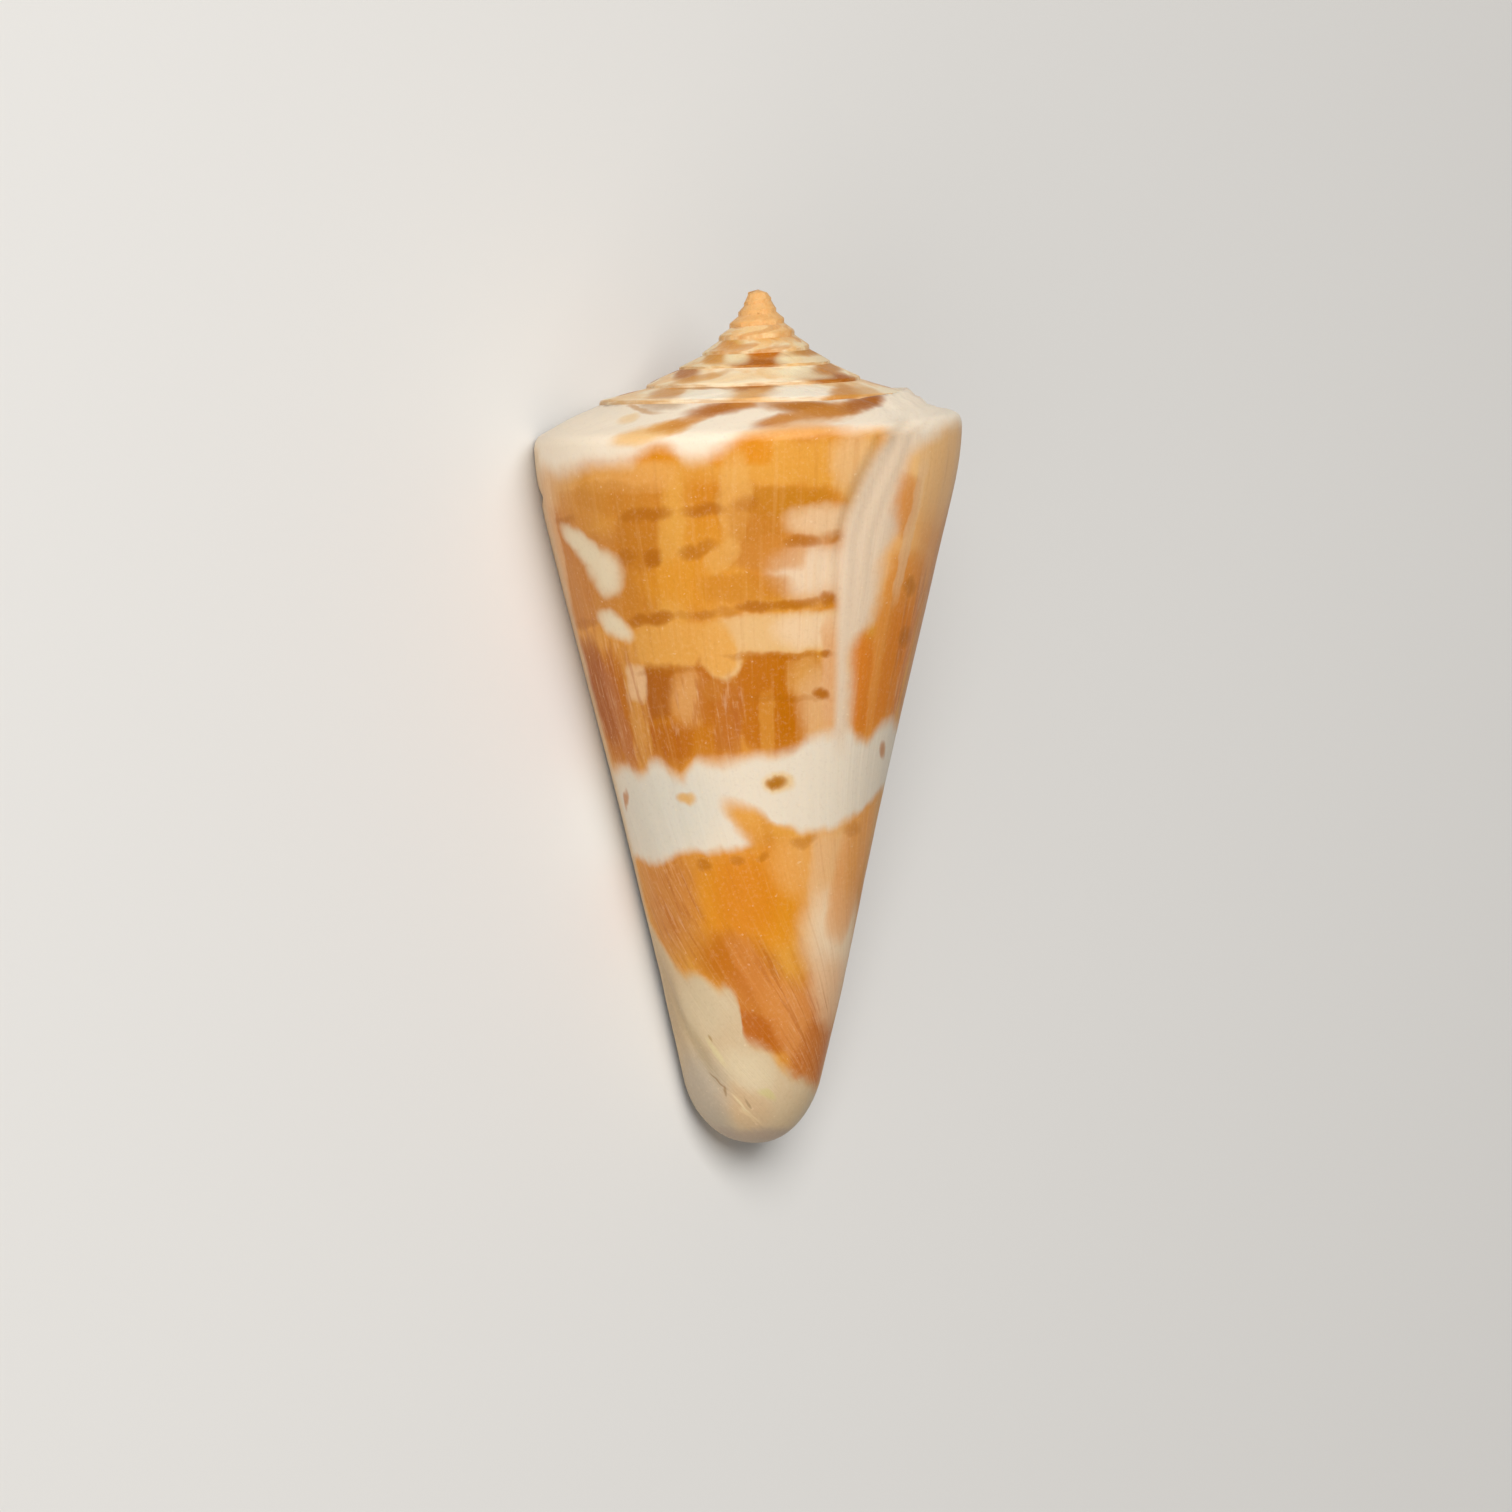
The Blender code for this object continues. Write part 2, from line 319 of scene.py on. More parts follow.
def relief(turns, levels):
    """How far the surface stands out at each place: growth lines, wrinkles, the scar, a nick."""
    along = growth(turns, levels)
    side = ease(*LINE_LEVELS, levels) * (1.0 - LINES_LOST_ON_RAMP * ease(*OVER_SHOULDER, levels))
    wrinkled = WRINKLES_AT_LIP + (1.0 - WRINKLES_AT_LIP) * ease(*WRINKLE_TURNS, turns)
    ramp = ease(*WRINKLE_LEVELS, levels) * wrinkled
    raised = sum(height * side * uneven(along, step, i) for i, (step, height) in enumerate(GROWTH_LINES))
    for i, (step, height) in enumerate(RAMP_WRINKLES):
        raised = raised + height * ramp * WHORL_RATIO**turns * uneven(along, step, 10 + i)
    for centre, width, level, spread, height in RAMP_HUMPS:
        raised = raised + height * bump(centre, width, turns) * bump(level, spread, levels)
    fold_turns, fold_levels = np.array(FOLD_LINE).T
    below = levels - np.interp(turns, fold_turns, fold_levels)
    shown = ease(*FOLD_LINE_START, turns) * (1.0 - ease(*FOLD_LINE_END, turns))
    raised = raised - FOLD_LINE_DEPTH * shown * bump(0.0, FOLD_LINE_WIDTH, below)
    folded = bump(FOLD_TURNS, FOLD_WIDTH, turns) * ease(*FOLD_LEVELS, levels)
    raised = raised + FOLD_HEIGHT * folded * np.sin(2.0 * np.pi * levels / FOLD_SPACING)
    scar_turns, scar_levels = np.array(SCAR).T
    behind = turns - np.interp(levels, scar_levels, scar_turns)
    scar = ease(*SCAR_LEVELS, levels) * (turns < 1.0)
    scar = scar * (1.0 - SCAR_LOST_ON_RAMP * ease(*OVER_SHOULDER, levels))
    for beside, width, depth in SCAR_GROOVES:
        raised = raised - depth * scar * bump(beside, width, behind)
    ledge = ease(*SCAR_LEDGE_EDGE, behind) * (1.0 - ease(*SCAR_LEDGE_FADE, behind))
    raised = raised + SCAR_LEDGE * scar * ledge
    nick = bump(NICK_LEVEL, NICK_HEIGHT, levels) * bump(0.0, NICK_TURNS, turns)
    return raised - NICK_DEPTH * nick


# The edge of the lip lies back in a notch on the ramp, and sweeps back towards the base
lip_turns = LIP_SWEEP * (1.0 - np.minimum(LEVELS, 1.0)) ** LIP_SWEEP_POWER
lip_turns[: len(RAMP_PARTS)] = LIP_NOTCH * np.sin(np.pi * RAMP_PARTS)

steps = np.arange(LAST_COLUMN + 1)[:, None] / COLUMNS
turns = steps + lip_turns * np.clip(1.0 - steps, 0.0, 1.0)
levels = LEVELS + 0.0 * turns
points, out = outside(turns)
points += out * relief(turns, levels)[..., None]

# Numbers of the points: each whorl starts on the one before it, at the suture, and all rows of
# the last whorl end in the tip
number = np.arange(points[..., 0].size).reshape(turns.shape)
number[: LAST_COLUMN + 1 - COLUMNS, 0] = number[COLUMNS:, SUTURE_ROW]
number[:, POLE_ROW] = number[0, POLE_ROW]
all_points = [points.reshape(-1, 3)]

# Each face has its corners, their places and the material of its side
faces, coordinates, slots = [], [], []
OUTER, INNER = 0, 1


def add_points(new):
    """Adds points to the mesh and gives their numbers."""
    first = sum(len(part) for part in all_points)
    all_points.append(new.reshape(-1, 3))
    return np.arange(first, first + new[..., 0].size).reshape(new.shape[:-1])


def sheet(lines, turns, levels, slot):
    """Faces between each line of points and the next, leaving out a corner that comes twice."""
    lines = lines.tolist()
    places = np.stack((turns, reach(levels)), axis=-1).tolist()
    for i in range(len(lines) - 1):
        for j in range(len(lines[0]) - 1):
            ring = ((i, j), (i + 1, j), (i + 1, j + 1), (i, j + 1))
            ring = [(lines[a][b], places[a][b]) for a, b in ring]
            ring = [corner for k, corner in enumerate(ring) if corner[0] != ring[k - 1][0]]
            if len(ring) > 2:
                faces.append([corner[0] for corner in ring])
                coordinates.extend(corner[1] for corner in ring)
                slots.append(slot)


last = slice(0, COLUMNS + 1)
sheet(number[last], turns[last], levels[last], OUTER)
spire = (slice(COLUMNS, None), slice(0, SUTURE_ROW + 1))
sheet(number[spire], turns[spire], levels[spire], OUTER)

# The blunt first whorl closes the spire
apex = add_points(np.array((-SPIRE_LEAN, LENGTH, 0.0)))
edge = np.concatenate((number[-COLUMNS - 1 :, 0], number[-1, 1:FIRST_SIDE]))
edge_turns = np.concatenate((turns[-COLUMNS - 1 :, 0], turns[-1, 1:FIRST_SIDE]))
fan = np.stack((edge, np.full_like(edge, apex)), axis=1)
sheet(fan, np.stack((edge_turns, edge_turns), axis=1), np.full(fan.shape, APEX_LEVEL), OUTER)

# The hollow follows the last whorl inwards: the wall behind the lip on one side of it, the
# whorl before it on the other
part = (np.linspace(0.0, 1.0, HOLLOW_COLUMNS + 1) ** HOLLOW_CROWDING)[:, None]
behind_turns = lip_turns + part * (HOLLOW_TURNS - lip_turns)
share = np.minimum(LEVELS, 1.0)
wall = WALL_AT_BASE + (WALL_AT_SHOULDER - WALL_AT_BASE) * share
wall = wall * (WALL_AT_EDGE + (1.0 - WALL_AT_EDGE) * ease(0.0, EDGE_TURNS, behind_turns - lip_turns))
behind_points, behind_out = outside(behind_turns)
behind_points -= behind_out * wall[..., None]
behind = add_points(behind_points)
before_turns = 1.0 + part * HOLLOW_TURNS + 0.0 * LEVELS
before = add_points(outside(before_turns)[0])
before[0] = number[COLUMNS]
rows = np.arange(1, HOLLOW_END_ROW + 1)
back = np.arange(HOLLOW_END_ROW, SUTURE_ROW, -1)


def ring(behind, before):
    return np.concatenate((before[:, back], behind[:, rows], before[:, back[:1]]), axis=1)


ring_levels = ring(LEVELS + 0.0 * part, LEVELS + 0.0 * part)
sheet(ring(behind, before), ring(behind_turns, before_turns), ring_levels, INNER)
end = np.stack((behind[-1, rows], before[-1, np.maximum(rows, FIRST_SIDE)]), axis=1)
sheet(end, np.full(end.shape, HOLLOW_TURNS), np.stack((LEVELS[rows], LEVELS[rows]), axis=1), INNER)

# The rim of the lip, rounded over, from the suture round to the tip
rim = [number[0, rows]]
outer_edge = points[0, rows]
inner_edge = behind_points[0, rows]
ahead = unit(points[0, rows] - points[1, rows])
for angle in np.linspace(0.0, math.pi, RIM_STEPS + 2)[1:-1]:
    across = (1.0 - math.cos(angle)) / 2.0
    over = outer_edge + (inner_edge - outer_edge) * across
    thick = np.linalg.norm(inner_edge - outer_edge, axis=-1, keepdims=True)
    rim.append(add_points(over + ahead * thick * 0.5 * math.sin(angle)))
rim.append(behind[0, rows])
rim = np.stack(rim, axis=1)
rim = np.concatenate((np.full_like(rim[:1], number[0, 0]), rim))
rim_levels = np.repeat(LEVELS[: len(rim), None], rim.shape[1], axis=1)
sheet(rim, 0.0 * rim_levels, rim_levels, OUTER)
below = np.arange(HOLLOW_END_ROW, POLE_ROW + 1)
foot = np.stack((number[0, below], number[COLUMNS, below]), axis=1)
sheet(foot, 0.0 * foot, np.stack((LEVELS[below], LEVELS[below]), axis=1), OUTER)
gaps = (
    (number[0, 0], behind[0, 1], before[0, FIRST_SIDE]),
    (*rim[-1], before[0, HOLLOW_END_ROW]),
)
for corners in gaps:
    faces.append([int(corner) for corner in corners])
    coordinates.extend((0.0, 1.0) for corner in corners)
    slots.append(INNER)

# Laid down as the solid is, which has the apex as its furthest point, and flat on the floor
apex_point = max((vert.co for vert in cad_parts["shell"].data.vertices), key=lambda co: co.y)
turned = Matrix.Rotation(SLOPE, 4, "X") @ Matrix.Rotation(ROLL, 4, "Y")
apex_turned = turned @ Vector((-SPIRE_LEAN, LENGTH, 0.0))
shell_to_world = Matrix.Translation(apex_point - apex_turned) @ turned
placing = np.array(shell_to_world)
all_points = np.concatenate(all_points) @ placing[:3, :3].T + placing[:3, 3]
all_points[:, 2] = np.maximum(all_points[:, 2], 0.0)
used = np.unique(np.concatenate([np.array(face) for face in faces]))
renumber = np.zeros(len(all_points), int)
renumber[used] = np.arange(len(used))
shell_mesh = bpy.data.meshes.new("cone_shell")
shell_mesh.from_pydata(all_points[used].tolist(), [], [renumber[face].tolist() for face in faces])
uv = shell_mesh.uv_layers.new(name="growth")
uv.data.foreach_set("uv", np.array(coordinates, dtype=np.float32).ravel())
shell_mesh.polygons.foreach_set("material_index", slots)
grown = bmesh.new()
grown.from_mesh(shell_mesh)
bmesh.ops.recalc_face_normals(grown, faces=grown.faces[:])
grown.to_mesh(shell_mesh)
grown.free()
shell_mesh.shade_smooth()
shell = bpy.data.objects.new("cone_shell", shell_mesh)
bpy.context.scene.collection.objects.link(shell)
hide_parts("shell")
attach(shell, "root")

# Where each place of the outside shows in the photograph, which puts the markings where they
# are on the real shell. The camera stands half a metre away, a little towards the spire.
PHOTO = 1512.0
LENS = 203.3
SENSOR = 36.0
VIEW_POINT = Vector((-0.000293, 0.02272, 0.500))
VIEW_TILT = math.radians(3.5)
SEEN_TURNS = 0.58
FACING = 0.10

pivot = Matrix.Translation((0.0, VIEW_POINT.y, 0.0))
shell_to_view = pivot @ Matrix.Rotation(VIEW_TILT, 4, "X") @ pivot.inverted()
view_turn = np.array(shell_to_view)
sight = np.array(VIEW_POINT) - (points @ view_turn[:3, :3].T + view_turn[:3, 3])
seen = (unit(sight) * (out @ view_turn[:3, :3].T)).sum(axis=-1) > FACING
seen[int(SEEN_TURNS * COLUMNS) :, FIRST_SIDE:] = False
seen[COLUMNS:, len(RAMP_PARTS) :] = False
pixels_per_metre = PHOTO * LENS / SENSOR / sight[..., 2]
pixels = PHOTO / 2.0 + np.stack((-sight[..., 0], sight[..., 1])) * pixels_per_metre
places = np.stack((turns, reach(levels)))
pixel_slopes = np.stack([np.gradient(pixels, axis=axis) for axis in (1, 2)], axis=1)
place_slopes = np.stack([np.gradient(places, axis=axis) for axis in (1, 2)], axis=1)


def place_at(x, y):
    """Turns and level of the place that shows at this pixel of the photograph, and their slopes."""
    apart = np.where(seen, (pixels[0] - x) ** 2 + (pixels[1] - y) ** 2, np.inf)
    i, j = np.unravel_index(np.argmin(apart), apart.shape)
    slopes = place_slopes[:, :, i, j] @ np.linalg.pinv(pixel_slopes[:, :, i, j])
    return places[:, i, j] + slopes @ (np.array((x, y)) - pixels[:, i, j]), slopes


# Polished aragonite
# The lime of a cone shell grew in fine crossed layers and was worn smooth by sand, so it has a
# low porcelain gloss. Its colours lie a little under the surface: every edge of one is soft.
glaze = bpy.data.materials.new("polished_aragonite")
glaze.use_nodes = True
nodes = glaze.node_tree.nodes
links = glaze.node_tree.links


def linear(colour):
    """An sRGB hex colour as the linear values that the shader takes."""
    parts = [int(colour[i : i + 2], 16) / 255.0 for i in (1, 3, 5)]
    parts = [part / 12.92 if part <= 0.04045 else ((part + 0.055) / 1.055) ** 2.4 for part in parts]
    return (*parts, 1.0)


def add(kind, *values, out=0, curve=(), **settings):
    """Adds a node with its settings, and fills or links its inputs in turn. Gives one output."""
    node = nodes.new("ShaderNode" + kind)
    for name, value in settings.items():
        setattr(node, name, value)
    for i, point in enumerate(curve):
        line = node.mapping.curves[0].points
        if i > 1:
            line.new(*point)
        line[i].location = point
    if curve:
        for point in line:
            point.handle_type = "AUTO"
        node.mapping.update()
    for socket, value in zip([socket for socket in node.inputs if socket.enabled], values):
        if isinstance(value, bpy.types.NodeSocket):
            links.new(value, socket)
        elif value is not None:
            socket.default_value = value
    return [socket for socket in node.outputs if socket.enabled][out]


def math_of(operation, *values, **settings):
    return add("Math", *values, operation=operation, **settings)


def rise(value, low, high, top=1.0):
    """A mask that rises smoothly from 0 at low to its top value at high. It needs no clamp, and
    each clamp would be one more value for the renderer to hold."""
    return add("MapRange", value, low, high, 0.0, top, interpolation_type="SMOOTHSTEP", clamp=False)


def both(*masks):
    """The masks multiplied. A plain number fades the whole mask."""
    product = masks[0]
    for mask in masks[1:]:
        product = math_of("MULTIPLY", product, mask)
    return product


def without(mask, hole):
    return both(mask, math_of("SUBTRACT", 1.0, hole))


def either(masks):
    """The strongest of some masks."""
    masks = iter(masks)
    strongest = next(masks)
    for mask in masks:
        strongest = math_of("MAXIMUM", strongest, mask)
    return strongest


# Growth lines run from the shoulder down, and bend back towards the base
growth_map = add("UVMap", uv_map="growth")
OBJECT = 3
body = add("TexCoord", out=OBJECT)
flat = add("VectorMath", growth_map, (0.0, 0.0, 0.0), operation="ADD")
true_turn = add("SeparateXYZ", flat)
true_level = add("SeparateXYZ", flat, out=1)
down = math_of("SUBTRACT", 1.0, true_level, use_clamp=True)
up = math_of("MULTIPLY_ADD", true_level, 1.0 / RAMP_SHARE, -1.0 / RAMP_SHARE, use_clamp=True)
back = both(math_of("POWER", down, BASE_SWEEP_POWER), BASE_SWEEP)
back_up = math_of("SINE", both(up, RAMP_SWEEP_BEND))
back = math_of("MULTIPLY_ADD", back_up, RAMP_SWEEP, back)
along = math_of("SUBTRACT", true_turn, back)

# Millimetres round the widest line and down the side
TURN_MM = 80.0
SIDE_MM = 41.0


def streaks(width_mm, length_mm, seed, detail=2.0):
    """Streaks along the growth lines, this wide and long, as a value around 0.5."""
    across = both(along, TURN_MM / width_mm)
    length = both(true_level, SIDE_MM / length_mm)
    stretched = add("CombineXYZ", across, length, float(seed))
    return add("TexNoise", stretched, 1.0, detail, 0.5, noise_dimensions="3D")


def per_metre(size_mm):
    """The scale of a texture with spots of this size, because its map is in metres."""
    return 1000.0 / size_mm


# Place on the shell, a little uneven, because no marking has a straight edge: it wanders, and
# each growth line ends a little higher or lower than the one before
WANDER_MM = 1.6129
WANDER = (0.013, 0.018, 0.0)
JAGS = 0.012
coarse = add("TexNoise", body, per_metre(WANDER_MM), 2.0, 0.55, out=1, noise_dimensions="3D")
shift = add("VectorMath", coarse, (0.5, 0.5, 0.5), operation="SUBTRACT")
shift = add("VectorMath", shift, WANDER, flat, operation="MULTIPLY_ADD")
turn = add("SeparateXYZ", shift)
jagged = math_of("SUBTRACT", streaks(1.3, 30.0, 7), 0.5)
smooth_level = add("SeparateXYZ", shift, out=1)
level = math_of("MULTIPLY_ADD", jagged, JAGS, smooth_level)
uneven_place = add("CombineXYZ", turn, level, 1.0)


def beyond(line, soft, at=None):
    """A mask of what lies above a line of levels that runs along the turns."""
    return rise(math_of("SUBTRACT", at or level, line), -soft, soft)


def line_of(seen_pixels, hidden):
    """Levels along the turns: through these pixels of the photograph, then on round the back."""
    shown = [tuple(place_at(x, y)[0]) for x, y in seen_pixels]
    return add("FloatCurve", 1.0, turn, curve=sorted((*shown, *hidden)))


# The most of a patch that its soft edge takes
SOFTEST = 0.85


def patch(x, y, half_width, half_height, tilt=0.0, edge=5.0, top=1.0, corners=False):
    """A mask of a round patch, or one with blunt corners, at a pixel of the photograph. Its
    sizes, and how soft its edge is, are in pixels as well. Its tilt is in degrees, down to the
    right."""
    middle, slopes = place_at(x, y)
    tilt = math.radians(tilt)
    axes = np.array(((math.cos(tilt), math.sin(tilt)), (-math.sin(tilt), math.cos(tilt))))
    axes = axes / np.array(((half_width,), (half_height,))) @ np.linalg.inv(slopes)
    sides = [(*axis, -axis @ middle) for axis in axes]
    sides = [add("VectorMath", uneven_place, side, operation="DOT_PRODUCT") for side in sides]
    power = 2
    if corners:
        sides = [both(side, side) for side in sides]
        power = 4
    apart = math_of("MULTIPLY_ADD", sides[0], sides[0], both(sides[1], sides[1]))
    soft = min(SOFTEST, edge / min(half_width, half_height))
    return rise(apart, (1.0 + soft) ** power, (1.0 - soft) ** power, top)


HONEY = "#dc993c"
AMBER = "#d9870f"
OCHRE = "#cd7f22"
BROWN = "#c17208"
DEEP_BROWN = "#b5640c"
RUST = "#ab5716"
PEACH = "#e3bb8e"
CREAM = "#e1d1ba"
RAMP_CREAM = "#f1e0c8"
BASE_CREAM = "#cfb48e"
BARK = "#ae6200"

skin = linear(HONEY)


def paint(mask, colour, strength=1.0):
    """The skin with a colour laid over it where the mask is."""
    mask = both(mask, strength) if strength < 1.0 else mask
    return add("Mix", mask, skin, linear(colour), data_type="RGBA")


# Ground: honey, browner in blotches and in streaks along the growth lines
blotches = add("TexNoise", body, per_metre(4.348), 2.0, 0.55)
skin = paint(rise(blotches, 0.42, 0.66), OCHRE, 0.7)
wide_streaks = streaks(1.8, 18.0, 2)
skin = paint(rise(wide_streaks, 0.48, 0.70), BROWN, 0.4)

# Zones of colour on the back; two paler ones on the right flank are partly painted light. One with an
# edge sharper than this has blunt corners.
BLUNT_EDGE = 10
FIELDS = (
    # x, y, half width, half height, tilt, colour, strength, edge
    (564, 580, 20, 100, -14, "#bd7434", 0.7, 12),
    (556, 478, 14, 22, -8, "#e0b27c", 0.7, 8),
    (595, 500, 40, 26, 0, HONEY, 0.7, 14),
    (577, 508, 17, 13, 0, "#cb8434", 0.6, 8),
    (634, 500, 30, 28, 0, OCHRE, 0.8, 14),
    (640, 575, 24, 50, 0, "#c67a18", 0.7, 14),
    (655, 451, 21, 10, 0, AMBER, 0.95, 9),
    (675, 555, 12, 62, 3, "#e0a044", 0.75, 9),
    (706, 498, 20, 30, 3, "#cd7d0a", 0.85, 11),
    (706, 545, 18, 22, 3, "#d68a1c", 0.8, 9),
    (690, 583, 46, 22, 0, "#da8e1f", 0.8, 11),
    (775, 464, 80, 18, -2, HONEY, 0.9, 11),
    (738, 450, 21, 11, -5, AMBER, 0.95, 9),
    (795, 540, 52, 52, 0, OCHRE, 0.9, 8),
    (776, 503, 38, 11, 0, "#c07a16", 0.8, 8),
    (762, 543, 32, 22, 0, "#c67e2c", 0.8, 9),
    (734, 488, 10, 24, 0, "#dea250", 0.75, 9),
    (734, 518, 8, 20, 4, "#dc9c48", 0.75, 8),
    (722, 556, 13, 8, -40, "#dea250", 0.65, 8),
    (822, 521, 25, 12, -4, PEACH, 0.95, 11),
    (813, 571, 30, 21, 0, "#e6c8a6", 1.0, 17),
    (852, 460, 14, 24, 20, "#e2b680", 0.7, 10),
    (600, 650, 26, 22, 0, "#de983e", 0.8, 9),
    (785, 633, 54, 17, -4, "#e0b276", 1.0, 6),
    (808, 630, 26, 14, -4, "#e8c59c", 0.9, 10),
    (783, 704, 44, 50, 0, "#bb6a02", 1.0, 4),
    (686, 714, 46, 46, 0, BROWN, 1.0, 4),
    (678, 646, 46, 21, 0, "#dd9c46", 1.0, 4),
    (664, 748, 20, 20, 0, DEEP_BROWN, 0.8, 8),
    (656, 692, 13, 22, 0, "#a85c10", 0.9, 6),
    (688, 697, 13, 21, 0, "#d79a58", 0.9, 13),
    (706, 690, 6, 22, 0, DEEP_BROWN, 0.7, 5),
    (728, 718, 11, 32, 0, "#b8691a", 0.9, 5),
    (767, 726, 5, 22, 0, "#d08a30", 0.7, 5),
    (806, 675, 13, 16, 0, "#d89c50", 0.8, 11),
    (820, 710, 15, 30, 0, "#dca76e", 0.95, 12),
    (832, 680, 7, 40, 0, "#dca470", 0.9, 5),
    (612, 712, 18, 50, -17, "#b86606", 0.9, 7),
    (600, 690, 6, 34, -17, "#a05000", 0.8, 5),
    (620, 720, 4, 36, -17, "#b8703c", 0.7, 4),
    (638, 712, 6, 42, -8, "#d08e40", 0.9, 5),
    (637, 683, 6, 12, -5, "#e3b88a", 0.8, 6),
    # The orange of the right flank, made paler than its colour here as painted light on the side that
    # turns away from the lamps
    (918, 520, 34, 96, 12, "#f0b26c", 0.95, 12),
    (947, 462, 16, 50, 8, "#ffd898", 1.0, 10),
    (905, 505, 10, 22, 12, "#dc9048", 0.9, 7),
    (904, 600, 14, 38, 12, "#e08c34", 0.9, 7),
    (864, 688, 11, 44, 4, "#d57c26", 1.0, 4),
    (880, 680, 6, 50, 6, "#dd8e3e", 0.9, 5),
    (896, 668, 9, 50, 12, "#d87c20", 0.9, 6),
    (940, 545, 6, 90, 11, "#cb8044", 0.5, 5),
    (911, 528, 3, 46, 13, "#e8bc8c", 0.6, 3),
    (549, 505, 2.5, 60, -10, "#e2b98c", 0.6, 2.5),
    (628, 477, 28, 10, 0, "#e4a456", 0.7, 8),
    (612, 498, 26, 10, 0, "#c47c24", 0.5, 9),
    (745, 588, 28, 9, 0, "#c67c1a", 0.6, 8),
    (636, 540, 16, 22, 0, "#c07414", 0.6, 9),
    (752, 524, 18, 16, 0, "#c07618", 0.5, 9),
    (783, 552, 16, 12, 0, "#cc8230", 0.6, 9),
    (755, 902, 60, 50, 0, AMBER, 0.8, 14),
    (748, 896, 26, 34, 0, "#d37c0c", 0.7, 18),
    (666, 898, 20, 50, -15, "#c8803c", 0.85, 13),
    (800, 868, 24, 26, 0, "#e2a054", 0.8, 13),
    (736, 964, 38, 24, 22, "#bd6a06", 0.95, 14),
    (764, 1010, 26, 38, -30, "#c07024", 0.9, 12),
    (763, 1034, 19, 11, 20, "#b45e10", 0.8, 9),
    (812, 1035, 24, 50, 0, "#cd7e3e", 0.95, 11),
    (792, 1018, 14, 32, -20, "#d88e4a", 0.7, 11),
    (816, 1056, 9, 26, 20, "#bc6a2c", 0.6, 8),
    (762, 985, 8, 36, -28, "#d48840", 0.5, 7),
    (830, 876, 12, 36, 5, "#e2b07a", 0.9, 9),
    (838, 944, 18, 40, 4, "#ecd0ac", 0.95, 14),
    (832, 990, 12, 26, 8, "#e6b88c", 0.9, 10),
    (852, 868, 9, 50, 12, "#e09a58", 0.8, 6),
)
for x, y, width, height, tilt, colour, strength, edge in FIELDS:
    skin = paint(patch(x, y, width, height, tilt, edge, strength, edge < BLUNT_EDGE), colour)

# The blunt end of the honey zone, with a paler rim that hooks round below it
ROUND_END = (
    # x, y, half width, half height, tilt, colour, strength, edge
    (722, 654, 19, 27, -4, "#e0b276", 1.0, 4),
    (718, 651, 19, 26, -4, "#dfa04c", 1.0, 4),
    (716, 690, 12, 12, 0, "#bd7220", 1.0, 4),
)
for x, y, width, height, tilt, colour, strength, edge in ROUND_END:
    skin = paint(patch(x, y, width, height, tilt, edge, strength), colour)

# On the side that doesn't show, the same zones follow one another by chance
rear = rise(turn, 0.46, 0.51)
rear_noise = add("TexNoise", body, per_metre(6.667), 1.0, 0.5)
rear_zone = both(rise(level, 0.53, 0.57), rise(level, 0.72, 0.69))
skin = paint(both(rear, rear_zone, rise(rear_noise, 0.40, 0.48)), BROWN, 0.9)
rear_honey = both(rise(level, 0.70, 0.72), rise(level, 0.80, 0.77))
skin = paint(both(rear, rear_honey, rise(rear_noise, 0.47, 0.55)), "#e4b67c", 0.9)
rear_base = both(rise(level, 0.45, 0.40), rise(level, 0.05, 0.12))
skin = paint(both(rear, rear_base), AMBER, 0.6)

# Streaks along the growth lines
fine_streaks = streaks(0.42, 7.0, 1)
skin = paint(rise(fine_streaks, 0.53, 0.72), "#e6b272", 0.14)
skin = paint(rise(fine_streaks, 0.45, 0.28), DEEP_BROWN, 0.14)
STREAKED = (
    # x, y, half width, half height, tilt, edge
    (612, 700, 26, 90, -16, 8),
    (670, 905, 24, 60, -16, 8),
    (728, 715, 14, 40, 0, 5),
    (690, 700, 14, 26, 0, 6),
    (655, 740, 24, 30, 0, 8),
    (912, 650, 12, 80, 12, 6),
    (812, 1035, 22, 50, 0, 10),
    (780, 985, 12, 36, -28, 8),
)
streaked = either(patch(*area) for area in STREAKED)
red_streaks = streaks(0.60, 3.0, 5)
skin = paint(both(streaked, rise(red_streaks, 0.50, 0.66)), RUST, 0.38)
pale_streaks = streaks(0.38, 1.6, 6)
skin = paint(both(streaked, rise(pale_streaks, 0.54, 0.72)), "#e9bb8c", 0.30)

